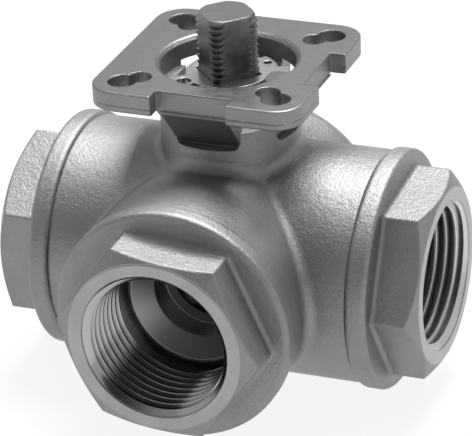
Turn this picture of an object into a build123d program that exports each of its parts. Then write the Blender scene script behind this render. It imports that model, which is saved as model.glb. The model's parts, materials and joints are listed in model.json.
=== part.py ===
"""Three-way ball valve with female pipe threads and a square mounting pad.

Millimetres. +Z is the stem axis, +X runs out of the right port and -Y out of the front
port. The origin is the centre of the mounting pad's top face. Heights whose names end in
top, foot or floor are counted up from the port axes.
"""

import math
import os

from build123d import *

# Mounting pad with the F04 and F05 hole patterns
pad_side = 48.4
pad_corner = 6.5
pad_thick = 4.6
pad_top_round = 0.25
pad_foot_round = 0.5
recess_r = 15.0
recess_depth = 5.8
recess_chamfer = 0.95
inner_pattern_pcd = 42.0
inner_pattern_hole_r = 2.75
outer_pattern_pcd = 50.0
outer_pattern_hole_r = 3.25
notch_width = 17.4
notch_depth = 3.5

# Stop lug that stands in the pad's recess
lug_face_x = 11.7
lug_near_y = -3.7
lug_far_y = -9.6
lug_round = 1.4

# Cast body
port_depth = 46.25
boss_r = 26.1
belly_r = 29.0
seam_reach = 34.7
back_reach = 29.5
back_round = 7.5
crease_round = 2.5
neck_r = 15.5
neck_top = 35.0

# Arms that carry the pad on the neck
arm_inner_r = 12.6
arm_drop = 0.7
arm_slope = 50.0
arm_width = 15.2
left_arm_width = 12.0
pocket_width = 14.6
pocket_corner = 1.5
pocket_floor = 31.0
pocket_wall_r = 11.6

# Ports, bored to the pipe thread's major diameter
port_reach = 49.5
port_bore_r = 16.65
port_mouth_r = 16.95
thread_length = 19.0
undercut_r = 17.2
undercut_length = 3.2
cone_mouth_r = 14.4
cone_length = 3.4
flow_r = 10.2

# Caps screwed into the body
flange_r = 26.9
flange_thick = 4.9
flange_round = 1.2
hex_flats = 40.4
hex_foot_round = 1.0
hex_face_r = 19.5
hex_chamfer_angle = 30.0
front_hex_turn = 23.8
right_hex_turn = -26.0
left_hex_turn = -1.5
spigot_r = 21.0
spigot_corner_wall = 1.8
gasket_thick = 1.2
nose_r = 17.6
nose_tip_r = 14.8
nose_reach = 15.6
seat_r = 13.6
seat_depth = 2.4

# Ball and its seats
ball_r = 17.5
ball_bore_r = 10.0
seat_gap = 0.3
seat_lip_r = 12.1
cavity_gap = 0.8

# Stem
stem_r = 7.0
stem_square = 11.0
stem_top = 57.3
stem_top_chamfer = 1.1
square_run = 0.6
collar_r = 9.8
collar_thick = 2.5
tang_thick = 8.0
tang_length = 16.0
tang_depth = 4.4
thrust_washer_thick = 1.0
web_foot = 21.8
web_thick = 3.2
o_ring_wire_r = 0.85
o_ring_r = 6.2
o_ring_groove_gap = 0.1

# Packing, gland, disc springs and nut in the neck
packing_r = 9.55
packing_thick = 2.2
vee_depth = 0.7
gland_thick = 2.6
spring_wall = 0.8
spring_rise = 0.5
spring_r = 9.4
nut_flats = 19.0
nut_thick = 4.0

# Travel stop plate on the stem's square
plate_thick = 2.3
plate_disc_r = 9.5
plate_lobe_r = 13.5
plate_hole_r = 1.6
plate_hole_place_r = 10.8
plate_hole_angle = -133.0
small_hole_r = 0.9
small_hole_place_r = 9.4
small_hole_angle = 44.0
shoulder_r = 11.0
shoulder_end = 63.0
first_lobe_start = -13.0
first_lobe_end = 28.0
second_lobe_start = -150.0
second_lobe_end = -121.0

# Clearances
running_gap = 0.1
loose_gap = 0.2
fit_gap = 0.05
seat_play = 0.05
plate_play = 0.2

pad_foot = port_depth - pad_thick
notch_wall = pad_side / 2 - notch_depth
arm_foot = pad_foot - arm_drop
hex_foot = seam_reach + flange_thick
hex_corner_r = hex_flats / math.sqrt(3)
body_bore_r = spigot_r + loose_gap
gasket_foot = body_bore_r + spigot_corner_wall
ball_way_r = nose_r + loose_gap
stem_hole_r = stem_r + running_gap
stuffing_r = packing_r + fit_gap
web_top = web_foot + web_thick
collar_top = web_foot - thrust_washer_thick - seat_play
collar_foot = collar_top - collar_thick
packing_top = web_top + 3 * packing_thick
gland_top = packing_top + gland_thick
spring_height = spring_wall + spring_rise
spring_top = gland_top + 2 * spring_height
nut_top = spring_top + nut_thick
plate_foot = nut_top + plate_play
square_foot = plate_foot - square_run
arm_fall = (notch_wall - pocket_wall_r) * math.tan(math.radians(arm_slope))
gasket_top = gasket_foot + gasket_thick
seat_back = nose_reach + seat_depth
side_way_foot = seat_back
side_way_tip_r = nose_tip_r + 2 * loose_gap
side_way_tip = side_way_foot - (ball_way_r - side_way_tip_r)
undercut_foot = port_reach - thread_length - undercut_length
thread_foot = port_reach - thread_length
cone_foot = undercut_foot - cone_length
hex_set_back = (hex_corner_r - hex_face_r) * math.tan(math.radians(hex_chamfer_angle))
tang_foot = collar_foot - tang_depth
o_ring_level = web_foot + web_thick / 2
o_ring_groove = 2 * (o_ring_wire_r + o_ring_groove_gap)
nut_chamfer_rise = nut_flats * (1 / math.sqrt(3) - 1 / 2) * math.tan(math.radians(hex_chamfer_angle))


def port_plane(*direction):
    """Plane at the crossing of the port axes that looks out along one of them."""
    return Plane(origin=(0, 0, -port_depth), x_dir=(0, 0, 1), z_dir=direction)


def level(height):
    """Horizontal plane at a height above the port axes."""
    return Plane.XY.offset(height - port_depth)


def heading(turn):
    return (math.cos(math.radians(turn)), math.sin(math.radians(turn)), 0)


def polar(radius, turn):
    return (radius * math.cos(math.radians(turn)), radius * math.sin(math.radians(turn)))


def axis_of(plane):
    return Axis(plane.origin, plane.z_dir)


def half_section(plane, *points):
    """Closed half section of a turned shape: each point is (distance along, radius)."""
    with BuildSketch(Plane(origin=plane.origin, x_dir=plane.z_dir, z_dir=plane.y_dir)) as profile:
        with BuildLine():
            Polyline(*points, close=True)
        make_face()
    return profile.sketch


def write(part, name, colour):
    part.label = name
    part.color = Color(*colour)
    export_step(part, f"parts/{name}.step")


steel = (0.66, 0.66, 0.67)
dark_steel = (0.42, 0.42, 0.43)
seal_white = (0.93, 0.93, 0.90)
rubber_black = (0.08, 0.08, 0.08)

right_port = port_plane(1, 0, 0)
left_port = port_plane(-1, 0, 0)
front_port = port_plane(0, -1, 0)
back_port = port_plane(0, 1, 0)
capped_ports = {"right": right_port, "left": left_port, "front": front_port}
hex_turns = {"right": right_hex_turn, "left": left_hex_turn, "front": front_hex_turn}
seat_ports = {**capped_ports, "back": back_port}
centre = level(0)
notched_sides = (0, 270)
pad_corners = (45, 135, 225, 315)

os.makedirs("parts", exist_ok=True)

with BuildPart() as body:
    for port in capped_ports.values():
        with BuildSketch(port):
            Circle(boss_r)
        extrude(amount=seam_reach)
    with BuildSketch(Plane(origin=back_port.origin, x_dir=back_port.z_dir, z_dir=back_port.y_dir)):
        with BuildLine():
            Polyline((0, 0), (0, boss_r), (back_reach - back_round, boss_r))
            RadiusArc((back_reach - back_round, boss_r), (back_reach, boss_r - back_round), back_round)
            Polyline((back_reach, boss_r - back_round), (back_reach, 0), (0, 0))
        make_face()
    revolve(axis=axis_of(back_port))
    with Locations(centre.origin):
        Sphere(belly_r)
    with BuildSketch(centre):
        Circle(neck_r)
    extrude(amount=neck_top)
    end_edges = body.faces().filter_by(GeomType.PLANE).edges()
    creases = (body.edges() - end_edges).filter_by(
        lambda edge: edge.geom_type != GeomType.LINE and edge.bounding_box().max.Y < neck_r + 1
    )
    fillet(creases, crease_round)

    # Pockets in the neck's wall below the notched arms
    for turn in notched_sides:
        pocket_back = Plane(
            origin=(*polar(pocket_wall_r, turn), pocket_floor - port_depth),
            x_dir=heading(turn + 90),
            z_dir=heading(turn),
        )
        with BuildSketch(pocket_back):
            RectangleRounded(
                pocket_width,
                2 * (neck_top - pocket_floor),
                pocket_corner,
                align=(Align.CENTER, Align.MIN),
            )
        extrude(amount=neck_r - pocket_wall_r, mode=Mode.SUBTRACT)

    # Four arms that slope out from the neck to the pad
    for turn in (0, 90, 180, 270):
        width = left_arm_width if turn == 180 else arm_width
        side = Plane(centre.origin, x_dir=heading(turn), z_dir=heading(turn - 90))
        with BuildSketch(side):
            with BuildLine():
                Polyline(
                    (arm_inner_r, pad_foot + pad_thick / 2),
                    (notch_wall, pad_foot + pad_thick / 2),
                    (notch_wall, arm_foot),
                    (pocket_wall_r, arm_foot - arm_fall),
                    (pocket_wall_r, neck_top),
                    (arm_inner_r, neck_top),
                    close=True,
                )
            make_face()
        extrude(amount=width / 2, both=True)

    with BuildSketch(Plane.XY.offset(-pad_thick)):
        RectangleRounded(pad_side, pad_side, pad_corner)
    extrude(amount=pad_thick)
    for height, radius in ((0, pad_top_round), (-pad_thick, pad_foot_round)):
        rim = body.edges().filter_by(
            lambda edge: abs(edge.bounding_box().min.Z - height) < 0.01
            and abs(edge.bounding_box().max.Z - height) < 0.01
            and max(abs(edge.center().X), abs(edge.center().Y)) > pad_side / 2 - pad_corner
        )
        fillet(rim, radius)
    with BuildSketch() as notches:
        for turn in notched_sides:
            with Locations(Rotation(0, 0, turn) * Location((pad_side / 2, 0))):
                Rectangle(2 * notch_depth, notch_width)
    extrude(amount=-pad_thick, mode=Mode.SUBTRACT)
    with BuildSketch():
        Circle(recess_r)
    extrude(amount=-recess_depth, mode=Mode.SUBTRACT)
    recess_mouth = body.edges().filter_by(
        lambda edge: edge.geom_type == GeomType.CIRCLE
        and abs(edge.radius - recess_r) < 0.01
        and abs(edge.center().Z) < 0.01
    )
    chamfer(recess_mouth, recess_chamfer)

    # Stop lug beside the right arm
    with BuildSketch() as lug_outline:
        with Locations((lug_face_x, (lug_near_y + lug_far_y) / 2)):
            Rectangle(
                recess_r + recess_chamfer - lug_face_x,
                lug_near_y - lug_far_y,
                align=(Align.MIN, Align.CENTER),
            )
        fillet(lug_outline.vertices().group_by(Axis.X)[0], lug_round)
    extrude(amount=-recess_depth)

    # Keyhole slots: both hole patterns run into each other at the pad's corners
    with BuildSketch() as keyholes:
        for turn in pad_corners:
            with Locations(Rotation(0, 0, turn) * Location((inner_pattern_pcd / 2, 0))):
                Circle(inner_pattern_hole_r)
            with Locations(Rotation(0, 0, turn) * Location((outer_pattern_pcd / 2, 0))):
                Circle(outer_pattern_hole_r)
    extrude(amount=-pad_thick, mode=Mode.SUBTRACT)

    # Bores of the three capped ports
    for name, port in capped_ports.items():
        if name == "front":
            way = ((0, 0), (0, ball_way_r))
        else:
            way = ((0, 0), (0, side_way_tip_r), (side_way_tip, side_way_tip_r), (side_way_foot, ball_way_r))
        bore = half_section(
            port,
            *way,
            (gasket_foot, ball_way_r),
            (gasket_foot, body_bore_r),
            (seam_reach, body_bore_r),
            (seam_reach, 0),
        )
        revolve(bore, axis=axis_of(port), mode=Mode.SUBTRACT)
    with Locations(centre.origin):
        Sphere(ball_r + cavity_gap, mode=Mode.SUBTRACT)
    section = half_section(
        back_port,
        (0, 0),
        (0, seat_r),
        (seat_back, seat_r),
        (seat_back, ball_bore_r),
        (seat_back + seat_depth, ball_bore_r),
        (seat_back + seat_depth, 0),
    )
    revolve(section, axis=axis_of(back_port), mode=Mode.SUBTRACT)

    # Way for the stem: collar bore, web and stuffing box
    for foot, top, radius in (
        (0, web_foot, collar_r + loose_gap),
        (web_foot, web_top, stem_hole_r),
        (web_top, neck_top, stuffing_r),
    ):
        with BuildSketch(level(foot)):
            Circle(radius)
        extrude(amount=top - foot, mode=Mode.SUBTRACT)
write(body.part, "body", steel)

for name, port in capped_ports.items():
    with BuildPart() as cap:
        with BuildSketch(port.offset(hex_foot)):
            RegularPolygon(hex_corner_r, 6, rotation=hex_turns[name])
        extrude(amount=port_reach - hex_foot)
        section = half_section(
            port,
            (hex_foot, 0),
            (hex_foot, hex_corner_r),
            (port_reach - hex_set_back, hex_corner_r),
            (port_reach, hex_face_r),
            (port_reach, 0),
        )
        revolve(section, axis=axis_of(port), mode=Mode.INTERSECT)
        section = half_section(
            port,
            (hex_foot, 0),
            (hex_foot, flange_r),
            (seam_reach, flange_r),
            (seam_reach, spigot_r),
            (gasket_top, spigot_r),
            (gasket_top, nose_r),
            (nose_reach + nose_r - nose_tip_r, nose_r),
            (nose_reach, nose_tip_r),
            (nose_reach, 0),
        )
        revolve(section, axis=axis_of(port))
        flange_rims = cap.edges().filter_by(
            lambda edge: edge.geom_type == GeomType.CIRCLE and abs(edge.radius - flange_r) < 0.01
        )
        fillet(flange_rims, flange_round)
        hex_root = cap.edges().filter_by(
            lambda edge: edge.geom_type == GeomType.LINE
            and abs((edge.center() - port.origin).dot(port.z_dir) - hex_foot) < 0.01
        )
        fillet(hex_root, hex_foot_round)
        section = half_section(
            port,
            (nose_reach, 0),
            (nose_reach, seat_r),
            (seat_back, seat_r),
            (seat_back, flow_r),
            (cone_foot, flow_r),
            (undercut_foot, cone_mouth_r),
            (undercut_foot, undercut_r),
            (thread_foot, undercut_r),
            (thread_foot, port_bore_r),
            (port_reach - (port_mouth_r - port_bore_r), port_bore_r),
            (port_reach, port_mouth_r),
            (port_reach, 0),
        )
        revolve(section, axis=axis_of(port), mode=Mode.SUBTRACT)
    write(cap.part, f"cap_{name}", steel)

    with BuildPart() as cap_gasket:
        with BuildSketch(port.offset(gasket_foot)):
            Circle(spigot_r)
            Circle(nose_r + loose_gap + fit_gap, mode=Mode.SUBTRACT)
        extrude(amount=gasket_thick)
    write(cap_gasket.part, f"cap_gasket_{name}", seal_white)

for name, port in seat_ports.items():
    seat_outer_r = seat_r - fit_gap
    face_r = ball_r + seat_gap
    lip = math.sqrt(face_r**2 - seat_lip_r**2)
    throat = math.sqrt(face_r**2 - ball_bore_r**2)
    with BuildPart() as seat:
        with BuildSketch(Plane(origin=port.origin, x_dir=port.z_dir, z_dir=port.y_dir)):
            with BuildLine():
                Polyline(
                    (throat, ball_bore_r),
                    (seat_back, ball_bore_r),
                    (seat_back, seat_outer_r),
                    (lip + seat_outer_r - seat_lip_r, seat_outer_r),
                    (lip, seat_lip_r),
                )
                RadiusArc((lip, seat_lip_r), (throat, ball_bore_r), face_r)
            make_face()
        revolve(axis=axis_of(port))
    write(seat.part, f"seat_{name}", seal_white)

with BuildPart() as ball:
    with Locations(centre.origin):
        Sphere(ball_r)
        Sphere(ball_bore_r, mode=Mode.SUBTRACT)
    for port in (front_port, left_port):
        with BuildSketch(port):
            Circle(ball_bore_r)
        extrude(amount=ball_r, mode=Mode.SUBTRACT)
    with BuildSketch(level(tang_foot - loose_gap)):
        Rectangle(2 * ball_r, tang_thick + loose_gap)
    extrude(amount=ball_r, mode=Mode.SUBTRACT)
write(ball.part, "ball", steel)

with BuildPart() as stem:
    with BuildSketch(level(tang_foot)):
        Rectangle(tang_length, tang_thick)
        Circle(collar_r, mode=Mode.INTERSECT)
    extrude(amount=tang_depth)
    section = half_section(
        centre,
        (collar_foot, 0),
        (collar_foot, collar_r),
        (collar_top, collar_r),
        (collar_top, stem_r),
        (stem_top - stem_top_chamfer, stem_r),
        (stem_top, stem_r - stem_top_chamfer),
        (stem_top, 0),
    )
    revolve(section, axis=Axis.Z)
    with BuildSketch(level(o_ring_level - o_ring_groove / 2)):
        Circle(stem_r)
        Circle(o_ring_r - o_ring_wire_r - o_ring_groove_gap, mode=Mode.SUBTRACT)
    extrude(amount=o_ring_groove, mode=Mode.SUBTRACT)
    with BuildSketch(level(square_foot)):
        Circle(stem_r)
        Rectangle(stem_square, stem_square, rotation=45, mode=Mode.SUBTRACT)
    extrude(amount=stem_top - square_foot, mode=Mode.SUBTRACT)
write(stem.part, "stem", dark_steel)

with BuildPart() as stem_o_ring:
    with Locations(level(o_ring_level).origin):
        Torus(o_ring_r, o_ring_wire_r)
write(stem_o_ring.part, "stem_o_ring", rubber_black)

with BuildPart() as thrust_washer:
    with BuildSketch(level(web_foot - thrust_washer_thick)):
        Circle(collar_r)
        Circle(stem_hole_r, mode=Mode.SUBTRACT)
    extrude(amount=thrust_washer_thick)
write(thrust_washer.part, "thrust_washer", seal_white)

# Packing rings nest in each other; the lowest sits flat and the highest ends flat
seal_inner_r = stem_r + fit_gap
seal_middle_r = (seal_inner_r + packing_r) / 2
for number, name in enumerate(("lower", "middle", "upper")):
    foot = web_top + number * packing_thick
    foot_vee = 0 if name == "lower" else vee_depth
    top_vee = 0 if name == "upper" else vee_depth
    with BuildPart() as packing:
        section = half_section(
            centre,
            (foot, seal_inner_r),
            (foot + foot_vee, seal_middle_r),
            (foot, packing_r),
            (foot + packing_thick, packing_r),
            (foot + packing_thick + top_vee, seal_middle_r),
            (foot + packing_thick, seal_inner_r),
        )
        revolve(section, axis=Axis.Z)
    write(packing.part, f"packing_{name}", seal_white)

with BuildPart() as gland:
    with BuildSketch(level(packing_top)):
        Circle(packing_r)
        Circle(stem_hole_r, mode=Mode.SUBTRACT)
    extrude(amount=gland_thick - seat_play)
write(gland.part, "gland", steel)

# The two dished springs stand back to back, rims outward
for name, foot, inner_rise, outer_rise in (
    ("lower", gland_top, spring_rise, 0),
    ("upper", gland_top + spring_height, 0, spring_rise),
):
    with BuildPart() as disc_spring:
        section = half_section(
            centre,
            (foot + inner_rise, stem_hole_r),
            (foot + outer_rise, spring_r),
            (foot + outer_rise + spring_wall, spring_r),
            (foot + inner_rise + spring_wall, stem_hole_r),
        )
        revolve(section, axis=Axis.Z)
    write(disc_spring.part, f"disc_spring_{name}", dark_steel)

with BuildPart() as stem_nut:
    with BuildSketch(level(spring_top)):
        RegularPolygon(nut_flats / math.sqrt(3), 6)
    extrude(amount=nut_thick)
    section = half_section(
        centre,
        (spring_top, 0),
        (spring_top, nut_flats / math.sqrt(3)),
        (nut_top - nut_chamfer_rise, nut_flats / math.sqrt(3)),
        (nut_top, nut_flats / 2),
        (nut_top, 0),
    )
    revolve(section, axis=Axis.Z, mode=Mode.INTERSECT)
    with BuildSketch(level(spring_top)):
        Circle(stem_r + fit_gap)
    extrude(amount=nut_thick, mode=Mode.SUBTRACT)
write(stem_nut.part, "stem_nut", dark_steel)

with BuildPart() as stop_plate:
    with BuildSketch(level(plate_foot)):
        Circle(plate_disc_r)
        for start, end, reach in (
            (first_lobe_start, first_lobe_end, plate_lobe_r),
            (first_lobe_end, shoulder_end, shoulder_r),
            (second_lobe_start, second_lobe_end, plate_lobe_r),
        ):
            with BuildLine():
                Line((0, 0), polar(reach, start))
                CenterArc((0, 0), reach, start, end - start)
                Line(polar(reach, end), (0, 0))
            make_face()
        Rectangle(stem_square + running_gap, stem_square + running_gap, rotation=45, mode=Mode.SUBTRACT)
        with Locations(polar(plate_hole_place_r, plate_hole_angle)):
            Circle(plate_hole_r, mode=Mode.SUBTRACT)
        with Locations(polar(small_hole_place_r, small_hole_angle)):
            Circle(small_hole_r, mode=Mode.SUBTRACT)
    extrude(amount=plate_thick)
write(stop_plate.part, "stop_plate", steel)
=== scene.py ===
"""Dresses the three-way ball valve: threads, machined and cast steel, seals and a studio."""

import json
import math

import bpy
from bpy.props import FloatProperty, FloatVectorProperty, PointerProperty
from mathutils import Matrix, Vector


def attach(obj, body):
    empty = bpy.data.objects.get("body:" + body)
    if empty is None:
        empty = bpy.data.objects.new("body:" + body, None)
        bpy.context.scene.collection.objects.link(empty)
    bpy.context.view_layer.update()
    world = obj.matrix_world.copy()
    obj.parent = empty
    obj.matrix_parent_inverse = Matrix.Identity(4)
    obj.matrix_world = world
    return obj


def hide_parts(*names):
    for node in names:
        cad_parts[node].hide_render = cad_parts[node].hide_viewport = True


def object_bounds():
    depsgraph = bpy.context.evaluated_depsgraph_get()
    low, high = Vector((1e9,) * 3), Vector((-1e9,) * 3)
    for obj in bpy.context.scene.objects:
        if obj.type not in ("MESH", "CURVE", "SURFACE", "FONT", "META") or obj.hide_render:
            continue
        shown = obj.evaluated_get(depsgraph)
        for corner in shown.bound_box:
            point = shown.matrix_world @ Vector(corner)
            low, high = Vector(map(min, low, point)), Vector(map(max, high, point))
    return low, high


bl_info = {
    "name": "Three-way ball valve",
    "version": (1, 0, 0),
    "blender": (4, 5, 0),
    "location": "View3D > Sidebar > Valve",
    "description": "Threads, steel finishes and studio for a three-way ball valve",
    "category": "Object",
}

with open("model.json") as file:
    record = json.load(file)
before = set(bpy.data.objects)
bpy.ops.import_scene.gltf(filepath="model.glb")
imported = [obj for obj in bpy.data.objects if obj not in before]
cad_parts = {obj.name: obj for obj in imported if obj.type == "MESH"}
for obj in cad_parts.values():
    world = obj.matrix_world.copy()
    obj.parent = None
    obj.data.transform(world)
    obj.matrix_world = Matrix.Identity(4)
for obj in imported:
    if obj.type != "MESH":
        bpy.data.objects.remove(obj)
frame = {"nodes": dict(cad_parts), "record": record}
cad_low, cad_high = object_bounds()

# Ports and stem, from the frame: the side ports' faces are its widest, the stem's end its highest
mounts = {mount["name"]: mount for mount in frame["record"]["mounts"]}
PORTS = {port: mounts[f"port_{port}"]["axis"] for port in ("right", "left", "front")}
PORT_DEPTH = -mounts["port_right"]["pos_m"][2]
PORT_FACE = cad_high.x
STEM_TOP = cad_high.z

# Port thread, measured out from the port axes' crossing
THREAD_FOOT = 0.03055
THREAD_HEAD = 0.04925
THREAD_FLANK = math.radians(27.5)
THREAD_STEPS = 120
HALF_CRESTS_PER_PITCH = 12
CREST_ROUNDING = 0.00014
BLANK_SIDES = 96
PORT_MOUTH_RADIUS = 0.01695
PORT_MOUTH_CHAMFER = 0.003
PORT_MOUTH_SIDES = 180

# Stem thread: where its groove starts, and the cylinder that it is cut in
STEM_THREAD_FOOT = -0.00186
STEM_THREAD_FLANK = math.radians(30)
STEM_THREAD_STEPS = 96
HALF_ROOTS_PER_PITCH = 16
STEM_RADIUS = 0.007
STEM_CUT_MARGIN = 0.00015
MERGE_DISTANCE = 1e-6

# Where one finish, painted shade or painted light gives way to another, and half the width over
# which most of them do
BLEND = 0.0001
PAD_SKIN = 0.0002
PAD_RIM = 0.023
RECESS_RADIUS = 0.01605
RECESS_DEPTH = 0.0058
BORE_RADIUS = 0.0175
CONE_RADIUS = 0.0151
GROOVE_RADIUS = 0.0157
MOUTH_FOOT = 0.0475

# Line that the mould's halves left round the pad, that deep under its top face
SEAM_DEPTH = 0.0031
SEAM_WIDTH = 0.00022
SEAM_WANDER = 0.0003

# Camera, from the perspective fit of the photograph
CAMERA_PLACE = (0.238369, -0.582608, 0.318850 - PORT_DEPTH)
CAMERA_AZIMUTH = math.radians(22.2376)
CAMERA_ELEVATION = math.radians(26.341)
CAMERA_ROLL = math.radians(-2.637)
FOCAL_LENGTH_PIXELS = 3133.1
PHOTO_WIDTH_PIXELS = 472
SENSOR_WIDTH = 36.0

# Studio
FLOOR_SIZE = 6.0
FLOOR_SHADE = 0.9
FLOOR_WHITENING = 0.88
CARD_PLACE = (0, -1.275, 0.935)
CARD_TILT = math.radians(51.9)
CARD_SIZE = (3.0, 1.05, 1.0)
CARD_SHADE = 0.03
SKY_LIGHT = 0.6
LAMP_PLACE = Vector((0.03, 0.36, 1.02))
LAMP_AIM = Vector((0, 0, -0.03))
LAMP_SIZE = 0.6
LAMP_POWER = 20.0


class ValveThreads(bpy.types.PropertyGroup):
    """Sizes of the screw threads."""

    port_root_radius: FloatProperty(
        name="Port thread root radius",
        description="Radius of the wall that the port thread's ridge stands on",
        default=0.01675,
        unit="LENGTH",
    )
    port_crest_radius: FloatProperty(
        name="Port thread crest radius",
        description="Radius of the port thread's crests",
        default=0.01515,
        unit="LENGTH",
    )
    port_pitch: FloatProperty(
        name="Port thread pitch",
        description="Distance from one turn of the port thread to the next",
        default=0.002309,
        unit="LENGTH",
    )
    stem_root_radius: FloatProperty(
        name="Stem thread root radius",
        description="Radius at the bottom of the stem thread's groove",
        default=0.00613,
        unit="LENGTH",
    )
    stem_pitch: FloatProperty(
        name="Stem thread pitch",
        description="Distance from one turn of the stem thread to the next",
        default=0.001411,
        unit="LENGTH",
    )


class ValveFinish(bpy.types.PropertyGroup):
    """Colours of the finishes."""

    cast_colour: FloatVectorProperty(
        name="Cast steel",
        description="Colour of the blasted casting",
        subtype="COLOR",
        size=3,
        min=0,
        max=1,
        default=(0.31, 0.31, 0.31),
    )
    machined_colour: FloatVectorProperty(
        name="Machined steel",
        description="Colour of the turned and milled faces",
        subtype="COLOR",
        size=3,
        min=0,
        max=1,
        default=(0.34, 0.34, 0.34),
    )
    stem_colour: FloatVectorProperty(
        name="Stem steel",
        description="Colour of the stem",
        subtype="COLOR",
        size=3,
        min=0,
        max=1,
        default=(0.165, 0.163, 0.16),
    )
    seal_colour: FloatVectorProperty(
        name="Seals",
        description="Colour of the seats, gaskets and packing",
        subtype="COLOR",
        size=3,
        min=0,
        max=1,
        default=(0.60, 0.595, 0.58),
    )
    rubber_colour: FloatVectorProperty(
        name="Rubber",
        description="Colour of the stem's O-ring",
        subtype="COLOR",
        size=3,
        min=0,
        max=1,
        default=(0.03, 0.03, 0.03),
    )


def deselect():
    for item in bpy.context.selected_objects:
        item.select_set(False)


def select_only(obj):
    deselect()
    obj.select_set(True)
    bpy.context.view_layer.objects.active = obj


def settle(obj):
    """Writes the object's place into its mesh, so that the object stands at the origin."""
    select_only(obj)
    bpy.ops.object.transform_apply(location=True, rotation=True, scale=True)


def apply_all(obj):
    """Applies the object's modifiers in their order."""
    select_only(obj)
    for modifier in list(obj.modifiers):
        bpy.ops.object.modifier_apply(modifier=modifier.name)


def coil(name, profile, pitch, turns, steps):
    """Closed helical bar: the profile's (radius, height) points swept up and round +Z."""
    deselect()
    bpy.ops.mesh.primitive_circle_add(vertices=len(profile))
    bar = bpy.context.active_object
    bar.name = name
    for vertex, (radius, height) in zip(bar.data.vertices, profile):
        vertex.co = (radius, 0, height)
    screw = bar.modifiers.new("screw", "SCREW")
    screw.angle = 2 * math.pi * turns
    screw.screw_offset = pitch * turns
    screw.steps = screw.render_steps = round(steps * turns)
    screw.use_merge_vertices = False
    apply_all(bar)
    bpy.ops.object.mode_set(mode="EDIT")
    bpy.ops.mesh.select_all(action="SELECT")
    bpy.ops.mesh.fill_holes(sides=0)
    bpy.ops.mesh.select_all(action="SELECT")
    bpy.ops.mesh.normals_make_consistent(inside=False)
    bpy.ops.object.mode_set(mode="OBJECT")
    return bar


def carve(obj, tool, operation):
    """Applies a boolean with the tool, then deletes the tool."""
    cut = obj.modifiers.new("cut", "BOOLEAN")
    cut.operation = operation
    cut.solver = "EXACT"
    cut.object = tool
    apply_all(obj)
    bpy.data.objects.remove(tool)


def finish_mesh(obj, material, smooth_below=30):
    """Gives the mesh its only material, and smooths the edges under that many degrees."""
    obj.data.materials.clear()
    obj.data.materials.append(material)
    select_only(obj)
    bpy.ops.object.shade_smooth_by_angle(angle=math.radians(smooth_below))


def node_material(name, build):
    """Material whose nodes the build function adds, from the Object coordinates."""
    material = bpy.data.materials.new(name)
    material.use_nodes = True
    tree = material.node_tree
    shader = tree.nodes["Principled BSDF"]
    coordinates = tree.nodes.new("ShaderNodeTexCoord")
    build(tree, shader, coordinates.outputs["Object"])
    return material


def noise(tree, vector, scale, detail, roughness=0.5):
    node = tree.nodes.new("ShaderNodeTexNoise")
    node.inputs["Scale"].default_value = scale
    node.inputs["Detail"].default_value = detail
    node.inputs["Roughness"].default_value = roughness
    tree.links.new(vector, node.inputs["Vector"])
    return node.outputs["Fac"]


def remap(tree, value, from_low, from_high, to_low, to_high):
    node = tree.nodes.new("ShaderNodeMapRange")
    tree.links.new(value, node.inputs["Value"])
    keys = ("From Min", "From Max", "To Min", "To Max")
    for key, number in zip(keys, (from_low, from_high, to_low, to_high)):
        node.inputs[key].default_value = number
    return node.outputs["Result"]


def spread(tree, value, low=0, high=1):
    """Runs from low to high over the middle range of a noise."""
    return remap(tree, value, 0.3, 0.7, low, high)


def above(tree, value, limit, blend=BLEND):
    """1 where the value is over the limit and 0 where it is under it, with a soft step."""
    return remap(tree, value, limit - blend, limit + blend, 0, 1)


def below(tree, value, limit, blend=BLEND):
    """1 where the value is under the limit and 0 where it is over it, with a soft step."""
    return remap(tree, value, limit + blend, limit - blend, 0, 1)


def tint(tree, value, colour, low, high):
    """The colour times a share that runs from low to high as the value goes from 0 to 1."""
    node = tree.nodes.new("ShaderNodeMix")
    node.data_type = "RGBA"
    tree.links.new(value, node.inputs["Factor"])
    for key, share in (("A", low), ("B", high)):
        node.inputs[key].default_value = (*[part * share for part in colour], 1)
    return node.outputs["Result"]


def bump(tree, height, strength, distance, normal=None):
    node = tree.nodes.new("ShaderNodeBump")
    node.inputs["Strength"].default_value = strength
    node.inputs["Distance"].default_value = distance
    tree.links.new(height, node.inputs["Height"])
    if normal:
        tree.links.new(normal, node.inputs["Normal"])
    return node.outputs["Normal"]


def set_input(tree, socket, value):
    """Sets the socket to a number, or links it to another socket."""
    if isinstance(value, (int, float)):
        socket.default_value = value
    else:
        tree.links.new(value, socket)


def math_node(tree, operation, *values):
    node = tree.nodes.new("ShaderNodeMath")
    node.operation = operation
    for socket, value in zip(node.inputs, values):
        set_input(tree, socket, value)
    return node.outputs[0]


def times(tree, value, factor):
    return math_node(tree, "MULTIPLY", value, factor)


def plus(tree, value, other):
    return math_node(tree, "ADD", value, other)


def absolute(tree, value):
    return math_node(tree, "ABSOLUTE", value)


def greater(tree, value, other):
    return math_node(tree, "MAXIMUM", value, other)


def distance_from_axis(tree, x, y):
    squares = plus(tree, times(tree, x, x), times(tree, y, y))
    return math_node(tree, "SQRT", squares)


def axes(tree, place):
    split = tree.nodes.new("ShaderNodeSeparateXYZ")
    tree.links.new(place, split.inputs[0])
    return split.outputs


def joined(tree, x, y):
    node = tree.nodes.new("ShaderNodeCombineXYZ")
    tree.links.new(x, node.inputs["X"])
    tree.links.new(y, node.inputs["Y"])
    return node.outputs[0]


def mixed(tree, factor, first, second):
    """Number that runs from the first to the second as the factor goes from 0 to 1."""
    node = tree.nodes.new("ShaderNodeMix")
    node.data_type = "FLOAT"
    tree.links.new(factor, node.inputs["Factor"])
    set_input(tree, node.inputs["A"], first)
    set_input(tree, node.inputs["B"], second)
    return node.outputs["Result"]


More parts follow.
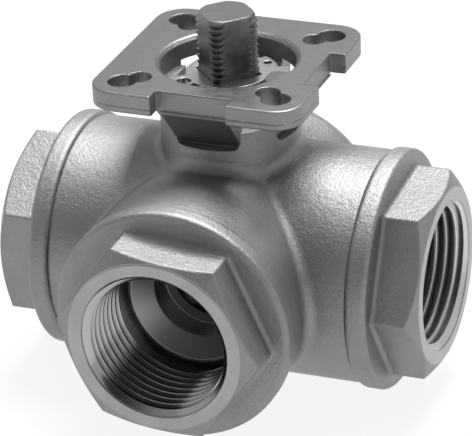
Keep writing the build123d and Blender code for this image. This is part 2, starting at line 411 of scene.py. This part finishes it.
def blended(tree, factor, first, second):
    """Colour that runs from the first to the second as the factor goes from 0 to 1."""
    node = tree.nodes.new("ShaderNodeMix")
    node.data_type = "RGBA"
    tree.links.new(factor, node.inputs["Factor"])
    tree.links.new(first, node.inputs["A"])
    tree.links.new(second, node.inputs["B"])
    return node.outputs["Result"]


def soft_edges(tree, radius):
    """Normal that rounds sharp edges over the radius."""
    node = tree.nodes.new("ShaderNodeBevel")
    node.samples = 6
    set_input(tree, node.inputs["Radius"], radius)
    return node.outputs["Normal"]


def connect(tree, shader, colour, roughness, normal=None, metallic=1.0):
    tree.links.new(colour, shader.inputs["Base Color"])
    tree.links.new(roughness, shader.inputs["Roughness"])
    if normal:
        tree.links.new(normal, shader.inputs["Normal"])
    shader.inputs["Metallic"].default_value = metallic


def cast_look(tree, place):
    """Colour, roughness and height of a blasted casting."""
    colour = bpy.context.scene.valve_finish.cast_colour
    patches = noise(tree, place, scale=90, detail=3)
    grain = noise(tree, place, scale=2500, detail=3, roughness=0.7)
    dents = noise(tree, place, scale=800, detail=2)
    return (
        tint(tree, spread(tree, patches), colour, 0.92, 1.08),
        spread(tree, grain, 0.42, 0.56),
        plus(tree, grain, times(tree, dents, 0.8)),
    )


def mould_seam(tree, place):
    """1 along the line that the mould's halves left round the pad's rim, and 0 away from it."""
    x, y, z = axes(tree, place)
    reach = greater(tree, absolute(tree, x), absolute(tree, y))
    drift = noise(tree, place, scale=120, detail=2)
    wander = remap(tree, drift, 0, 1, -SEAM_WANDER, SEAM_WANDER)
    offset = absolute(tree, plus(tree, plus(tree, z, SEAM_DEPTH), wander))
    line = remap(tree, offset, 0, SEAM_WIDTH, 1, 0)
    return times(tree, line, above(tree, reach, PAD_RIM, 2 * BLEND))


def cast_steel(tree, shader, place):
    """Casting with a milled top face and a turned recess, both tinted darker as painted shade, and
    a seam round the pad's rim.
    """
    colour = bpy.context.scene.valve_finish.cast_colour
    cast_colour, cast_roughness, grain = cast_look(tree, place)
    x, y, z = axes(tree, place)
    patches = noise(tree, place, scale=420, detail=4, roughness=0.7)

    top = above(tree, z, -PAD_SKIN)
    # Painted shade: the milled top face is tinted darker than the casting, with patchy tone
    milled_colour_with_painted_shade = tint(tree, spread(tree, patches), colour, 0.62, 0.98)
    milled_roughness = spread(tree, patches, 0.42, 0.26)
    strokes = noise(tree, joined(tree, times(tree, x, 0.12), y), scale=2600, detail=2)
    milled_height = plus(tree, times(tree, strokes, 0.02), times(tree, grain, 0.2))

    near_stem = below(tree, distance_from_axis(tree, x, y), RECESS_RADIUS, 1.5 * BLEND)
    recess = times(tree, near_stem, above(tree, z, -RECESS_DEPTH))
    # Painted shade: the turned recess round the stem is tinted darker than the casting, with patchy
    # tone
    turned_colour_with_painted_lighting = tint(tree, patches, colour, 0.6, 0.8)

    seam = times(tree, mould_seam(tree, place), 0.8)
    height = math_node(tree, "SUBTRACT", mixed(tree, top, grain, milled_height), seam)
    outer_colour = blended(tree, top, cast_colour, milled_colour_with_painted_shade)
    connect(
        tree,
        shader,
        colour=blended(tree, recess, outer_colour, turned_colour_with_painted_lighting),
        roughness=mixed(tree, top, cast_roughness, milled_roughness),
        normal=bump(tree, height, strength=0.7, distance=0.00018, normal=soft_edges(tree, 0.0005)),
    )


def port_distances(tree, place, axis):
    """Distance out along a port's axis, and distance from it."""
    x, y, z = axes(tree, place)
    along, across = (x, y) if axis == "X" else (y, x)
    rise = plus(tree, z, PORT_DEPTH)
    return absolute(tree, along), distance_from_axis(tree, across, rise)


def turning_rings(tree, radius, along):
    """Fine rings that the lathe left round a port's axis."""
    return noise(tree, joined(tree, radius, along), scale=3500, detail=3, roughness=0.6)


def cap_steel(axis):
    """Finish of a cap on that axis: cast outside, turned face and bore, and painted light that
    makes the cone brighter.
    """

    def build(tree, shader, place):
        colour = bpy.context.scene.valve_finish.machined_colour
        along, radius = port_distances(tree, place, axis)
        cast_colour, cast_roughness, grain = cast_look(tree, place)
        rings = turning_rings(tree, radius, along)
        patches = noise(tree, place, scale=140, detail=2)

        face = above(tree, along, PORT_FACE - 1.5 * BLEND, 0.5 * BLEND)
        bore = below(tree, radius, BORE_RADIUS)
        turned = greater(tree, face, bore)
        cone = times(tree, below(tree, radius, CONE_RADIUS), bore)

        wall_colour = tint(tree, spread(tree, patches), colour, 0.92, 1.06)
        # Painted light: the conical seat is tinted about 1.7 times brighter than the machined
        # colour
        cone_painted_light_colour = tint(tree, rings, colour, 1.7, 1.712)
        turned_colour_with_painted_lighting = blended(tree, cone, wall_colour, cone_painted_light_colour)
        turned_roughness = mixed(tree, cone, spread(tree, rings, 0.2, 0.3), 0.4)
        height = mixed(tree, turned, grain, times(tree, rings, 0.06))
        edge = mixed(tree, turned, 0.0009, 0.0003)
        connect(
            tree,
            shader,
            colour=blended(tree, turned, cast_colour, turned_colour_with_painted_lighting),
            roughness=mixed(tree, turned, cast_roughness, turned_roughness),
            normal=bump(tree, height, strength=0.7, distance=0.0002, normal=soft_edges(tree, edge)),
        )

    return build


def thread_steel(axis, smooth, rough, crest, groove):
    """Finish of a thread on that axis: its roughness range, the crest share of painted light on the
    thread, and the groove share of painted shade deep in its grooves.
    """

    def build(tree, shader, place):
        colour = bpy.context.scene.valve_finish.machined_colour
        along, radius = port_distances(tree, place, axis)
        rings = turning_rings(tree, radius, along)
        # Painted shade darkens the grooves further in than the mouth by the groove share, and
        # painted light brightens the rest of the thread by the crest share
        deep = above(tree, radius, GROOVE_RADIUS, 4 * BLEND)
        inside = below(tree, along, MOUTH_FOOT, 3 * BLEND)
        connect(
            tree,
            shader,
            colour=tint(tree, times(tree, deep, inside), colour, crest, groove),
            roughness=remap(tree, rings, 0.25, 0.75, smooth, rough),
            normal=bump(tree, times(tree, rings, 0.06), strength=0.15, distance=0.00005),
        )

    return build


def machined_steel(tree, shader, place):
    """Bright steel of the stop plate, nut, springs and gland."""
    colour = bpy.context.scene.valve_finish.machined_colour
    patches = noise(tree, place, scale=140, detail=2)
    grain = noise(tree, place, scale=4000, detail=2, roughness=0.6)
    connect(
        tree,
        shader,
        colour=tint(tree, spread(tree, patches), colour, 1.35, 1.55),
        roughness=spread(tree, grain, 0.22, 0.34),
        normal=bump(tree, grain, strength=0.12, distance=0.00005, normal=soft_edges(tree, 0.0004)),
    )


def stem_steel(tree, shader, place):
    """Drawn bar: dark flats, and a sawn and lightly worn top."""
    colour = bpy.context.scene.valve_finish.stem_colour
    x, y, z = axes(tree, place)
    top = above(tree, z, STEM_TOP - 2 * BLEND)
    patches = spread(tree, noise(tree, place, scale=400, detail=3))
    saw = noise(tree, joined(tree, times(tree, x, 0.06), y), scale=3000, detail=2)
    flats = tint(tree, patches, colour, 0.8, 1.15)
    sawn = tint(tree, spread(tree, saw), colour, 1.3, 1.7)
    connect(
        tree,
        shader,
        colour=blended(tree, top, flats, sawn),
        roughness=mixed(tree, top, remap(tree, patches, 0, 1, 0.3, 0.4), 0.32),
        normal=bump(tree, saw, strength=0.2, distance=0.00005, normal=soft_edges(tree, 0.0005)),
    )


def polished_steel(tree, shader, place):
    """Lapped surface of the ball."""
    colour = bpy.context.scene.valve_finish.machined_colour
    patches = noise(tree, place, scale=120, detail=2)
    connect(
        tree,
        shader,
        colour=tint(tree, patches, colour, 0.98, 1.1),
        roughness=spread(tree, patches, 0.08, 0.14),
    )


def seal_plastic(tree, shader, place):
    """Plain plastic of the seats, gaskets, packing and washer."""
    colour = bpy.context.scene.valve_finish.seal_colour
    patches = noise(tree, place, scale=300, detail=3)
    connect(
        tree,
        shader,
        colour=tint(tree, patches, colour, 0.93, 1.05),
        roughness=spread(tree, patches, 0.4, 0.55),
        metallic=0.0,
    )


def black_rubber(tree, shader, place):
    """Rubber of the stem's O-ring."""
    colour = bpy.context.scene.valve_finish.rubber_colour
    patches = noise(tree, place, scale=900, detail=3)
    connect(
        tree,
        shader,
        colour=tint(tree, patches, colour, 0.8, 1.3),
        roughness=spread(tree, patches, 0.5, 0.65),
        metallic=0.0,
    )


BRIGHT_SOLIDS = ("gland", "disc_spring_lower", "disc_spring_upper", "stem_nut", "stop_plate")
SEALS = (
    "cap_gasket_right",
    "cap_gasket_left",
    "cap_gasket_front",
    "seat_right",
    "seat_left",
    "seat_front",
    "seat_back",
    "packing_lower",
    "packing_middle",
    "packing_upper",
    "thrust_washer",
)
# Each finish, what builds its material, and the solids that wear it
FINISHES = (
    ("cast_steel", cast_steel, ("body",)),
    ("cap_steel_side", cap_steel("X"), ("cap_right", "cap_left")),
    ("cap_steel_front", cap_steel("Y"), ("cap_front",)),
    # The threads' crest shares are painted light and their groove shares painted shade
    ("thread_steel_side", thread_steel("X", smooth=0.32, rough=0.42, crest=1.9, groove=0.9), ()),
    ("thread_steel_front", thread_steel("Y", smooth=0.14, rough=0.22, crest=1.25, groove=0.3), ()),
    ("machined_steel", machined_steel, BRIGHT_SOLIDS),
    ("stem_steel", stem_steel, ("stem",)),
    ("polished_steel", polished_steel, ("ball",)),
    ("seal_plastic", seal_plastic, SEALS),
    ("black_rubber", black_rubber, ("stem_o_ring",)),
)


def finish_material(finish):
    return bpy.data.materials[f"{finish}_finish"]


class VALVE_OT_finishes(bpy.types.Operator):
    """Give every solid its finish"""

    bl_idname = "valve.finishes"
    bl_label = "Finishes"

    def execute(self, context):
        for finish, build, solids in FINISHES:
            material = node_material(f"{finish}_finish", build)
            for name in solids:
                node = frame["nodes"][name]
                node.data.materials.clear()
                node.data.materials.append(material)
        return {"FINISHED"}


class VALVE_OT_port_threads(bpy.types.Operator):
    """Wind the pipe thread's ridge into each port"""

    bl_idname = "valve.port_threads"
    bl_label = "Port threads"

    def execute(self, context):
        sizes = context.scene.valve_threads
        root, crest, pitch = sizes.port_root_radius, sizes.port_crest_radius, sizes.port_pitch
        slant = math.tan(THREAD_FLANK)
        half_crest = pitch / HALF_CRESTS_PER_PITCH
        half_root = half_crest + (root - crest) * slant
        section = [
            (root, -half_root),
            (crest + CREST_ROUNDING, -half_crest - CREST_ROUNDING * slant),
            (crest, -half_crest / 2),
            (crest, half_crest / 2),
            (crest + CREST_ROUNDING, half_crest + CREST_ROUNDING * slant),
            (root, half_root),
        ]
        start = THREAD_FOOT - pitch
        profile = [(radius, height + start) for radius, height in section]
        turns = (THREAD_HEAD + pitch - start) / pitch
        up = Vector((0, 0, 1))
        for port, direction in PORTS.items():
            ridge = coil(f"port_thread_{port}", profile, pitch, turns, THREAD_STEPS)

            # Square ends at the thread's foot and head
            bpy.ops.mesh.primitive_cylinder_add(
                vertices=BLANK_SIDES,
                radius=2 * root,
                depth=THREAD_HEAD - THREAD_FOOT,
                location=(0, 0, (THREAD_HEAD + THREAD_FOOT) / 2),
            )
            carve(ridge, context.active_object, "INTERSECT")

            # Chamfer at the port's mouth
            bpy.ops.mesh.primitive_cone_add(
                vertices=PORT_MOUTH_SIDES,
                radius1=PORT_MOUTH_RADIUS - PORT_MOUTH_CHAMFER,
                radius2=PORT_MOUTH_RADIUS + PORT_MOUTH_CHAMFER,
                depth=2 * PORT_MOUTH_CHAMFER,
                location=(0, 0, PORT_FACE),
            )
            carve(ridge, context.active_object, "DIFFERENCE")

            outward = Vector(direction)
            ridge.matrix_world = Matrix((up.cross(outward), up, outward)).transposed().to_4x4()
            ridge.location = (0, 0, -PORT_DEPTH)
            settle(ridge)
            finish = "thread_steel_front" if port == "front" else "thread_steel_side"
            finish_mesh(ridge, finish_material(finish))
            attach(ridge, "valve_body")
        return {"FINISHED"}


class VALVE_OT_stem_thread(bpy.types.Operator):
    """Cut the stem's thread across the corners of its square"""

    bl_idname = "valve.stem_thread"
    bl_label = "Stem thread"

    def execute(self, context):
        sizes = context.scene.valve_threads
        root, pitch = sizes.stem_root_radius, sizes.stem_pitch
        outer = STEM_RADIUS + STEM_CUT_MARGIN
        half_root = pitch / HALF_ROOTS_PER_PITCH
        half_outer = half_root + (outer - root) * math.tan(STEM_THREAD_FLANK)
        profile = [
            (root, STEM_THREAD_FOOT - half_root),
            (root, STEM_THREAD_FOOT + half_root),
            (outer, STEM_THREAD_FOOT + half_outer),
            (outer, STEM_THREAD_FOOT - half_outer),
        ]
        turns = (STEM_TOP + pitch - STEM_THREAD_FOOT) / pitch
        cutter = coil("stem_thread_cutter", profile, pitch, turns, STEM_THREAD_STEPS)
        cutter.rotation_euler = (0, 0, math.pi)
        settle(cutter)

        stem = frame["nodes"]["stem"].copy()
        stem.data = stem.data.copy()
        stem.name = "stem_threaded"
        context.scene.collection.objects.link(stem)
        select_only(stem)
        bpy.ops.object.mode_set(mode="EDIT")
        bpy.ops.mesh.select_all(action="SELECT")
        bpy.ops.mesh.remove_doubles(threshold=MERGE_DISTANCE)
        bpy.ops.object.mode_set(mode="OBJECT")
        bpy.ops.mesh.customdata_custom_splitnormals_clear()
        carve(stem, cutter, "DIFFERENCE")
        finish_mesh(stem, finish_material("stem_steel"), smooth_below=20)
        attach(stem, "rotor")
        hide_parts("stem")
        return {"FINISHED"}


def add_camera(scene):
    camera_data = bpy.data.cameras.new("camera")
    camera_data.sensor_width = SENSOR_WIDTH
    camera_data.lens = FOCAL_LENGTH_PIXELS / PHOTO_WIDTH_PIXELS * SENSOR_WIDTH
    camera_data.clip_start = 0.01
    camera_data.clip_end = 20.0
    camera = bpy.data.objects.new("camera", camera_data)
    scene.collection.objects.link(camera)
    back = Vector(
        (
            math.sin(CAMERA_AZIMUTH) * math.cos(CAMERA_ELEVATION),
            -math.cos(CAMERA_AZIMUTH) * math.cos(CAMERA_ELEVATION),
            math.sin(CAMERA_ELEVATION),
        )
    )
    level_right = Vector((math.cos(CAMERA_AZIMUTH), math.sin(CAMERA_AZIMUTH), 0))
    level_up = back.cross(level_right)
    right = level_right * math.cos(CAMERA_ROLL) + level_up * math.sin(CAMERA_ROLL)
    up = back.cross(right)
    camera.matrix_world = Matrix((right, up, back)).transposed().to_4x4()
    camera.location = CAMERA_PLACE
    scene.camera = camera


def stage_plane(name, shade, size, location, rotation=(0, 0, 0)):
    """Matt plane that isn't part of the object, with a material of its own."""
    deselect()
    bpy.ops.mesh.primitive_plane_add(size=size, location=location, rotation=rotation)
    plane = bpy.context.active_object
    plane.name = name
    material = bpy.data.materials.new(name)
    material.use_nodes = True
    shader = material.node_tree.nodes["Principled BSDF"]
    shader.inputs["Base Color"].default_value = (shade, shade, shade, 1)
    shader.inputs["Roughness"].default_value = 0.9
    plane.data.materials.append(material)
    return plane


def seen_directly(tree):
    """1 where the camera sees the surface straight, in a reflection or through glass."""
    path = tree.nodes.new("ShaderNodeLightPath")
    camera, glossy, through = (
        path.outputs[key] for key in ("Is Camera Ray", "Is Glossy Ray", "Is Transmission Ray")
    )
    return greater(tree, greater(tree, camera, glossy), through)


def whiten(tree, share):
    """Shows the camera plain white in place of that share of the material."""
    white = tree.nodes.new("ShaderNodeEmission")
    mix = tree.nodes.new("ShaderNodeMixShader")
    tree.links.new(times(tree, seen_directly(tree), share), mix.inputs["Fac"])
    tree.links.new(tree.nodes["Principled BSDF"].outputs[0], mix.inputs[1])
    tree.links.new(white.outputs[0], mix.inputs[2])
    tree.links.new(mix.outputs[0], tree.nodes["Material Output"].inputs["Surface"])


def add_sky(scene):
    """Plain white sky for the camera, and a weaker one for the light on the object."""
    world = bpy.data.worlds.new("world")
    scene.world = world
    world.use_nodes = True
    tree = world.node_tree
    background = tree.nodes["Background"]
    background.inputs["Color"].default_value = (1, 1, 1, 1)
    path = tree.nodes.new("ShaderNodeLightPath")
    strength = remap(tree, path.outputs["Is Camera Ray"], 0, 1, SKY_LIGHT, 1)
    tree.links.new(strength, background.inputs["Strength"])


def add_lamp(scene):
    light = bpy.data.lights.new("key", "AREA")
    light.size = LAMP_SIZE
    light.energy = LAMP_POWER
    lamp = bpy.data.objects.new("key", light)
    scene.collection.objects.link(lamp)
    lamp.location = LAMP_PLACE
    lamp.rotation_euler = (LAMP_AIM - LAMP_PLACE).to_track_quat("-Z", "Y").to_euler()


class VALVE_OT_stage(bpy.types.Operator):
    """Set up the camera, lamp, floor, dark card and sky"""

    bl_idname = "valve.stage"
    bl_label = "Stage"

    def execute(self, context):
        scene = context.scene
        add_camera(scene)
        floor = stage_plane("floor", FLOOR_SHADE, FLOOR_SIZE, (0, 0, cad_low.z))
        settle(floor)
        whiten(floor.active_material.node_tree, FLOOR_WHITENING)
        card = stage_plane("dark_card", CARD_SHADE, 1, CARD_PLACE, (CARD_TILT, 0, 0))
        card.scale = CARD_SIZE
        settle(card)
        add_sky(scene)
        add_lamp(scene)
        scene.view_settings.view_transform = "Standard"
        return {"FINISHED"}


class VALVE_PT_panel(bpy.types.Panel):
    """Lists the valve's thread sizes and colours, and a button for each step"""

    bl_label = "Valve"
    bl_idname = "VALVE_PT_panel"
    bl_space_type = "VIEW_3D"
    bl_region_type = "UI"
    bl_category = "Valve"

    def draw(self, context):
        layout = self.layout
        for group in (context.scene.valve_threads, context.scene.valve_finish):
            for key in group.__annotations__:
                layout.prop(group, key)
        for operator in OPERATORS:
            layout.operator(operator.bl_idname)


GROUPS = {"valve_threads": ValveThreads, "valve_finish": ValveFinish}
OPERATORS = (VALVE_OT_finishes, VALVE_OT_port_threads, VALVE_OT_stem_thread, VALVE_OT_stage)


def register():
    for item in (*GROUPS.values(), *OPERATORS, VALVE_PT_panel):
        bpy.utils.register_class(item)
    for key, group in GROUPS.items():
        setattr(bpy.types.Scene, key, PointerProperty(type=group))


def unregister():
    for key in GROUPS:
        delattr(bpy.types.Scene, key)
    for item in (VALVE_PT_panel, *reversed(OPERATORS), *reversed(GROUPS.values())):
        bpy.utils.unregister_class(item)


def main():
    register()
    bpy.ops.valve.finishes()
    bpy.ops.valve.port_threads()
    bpy.ops.valve.stem_thread()
    bpy.ops.valve.stage()


if __name__ == "__main__":
    main()
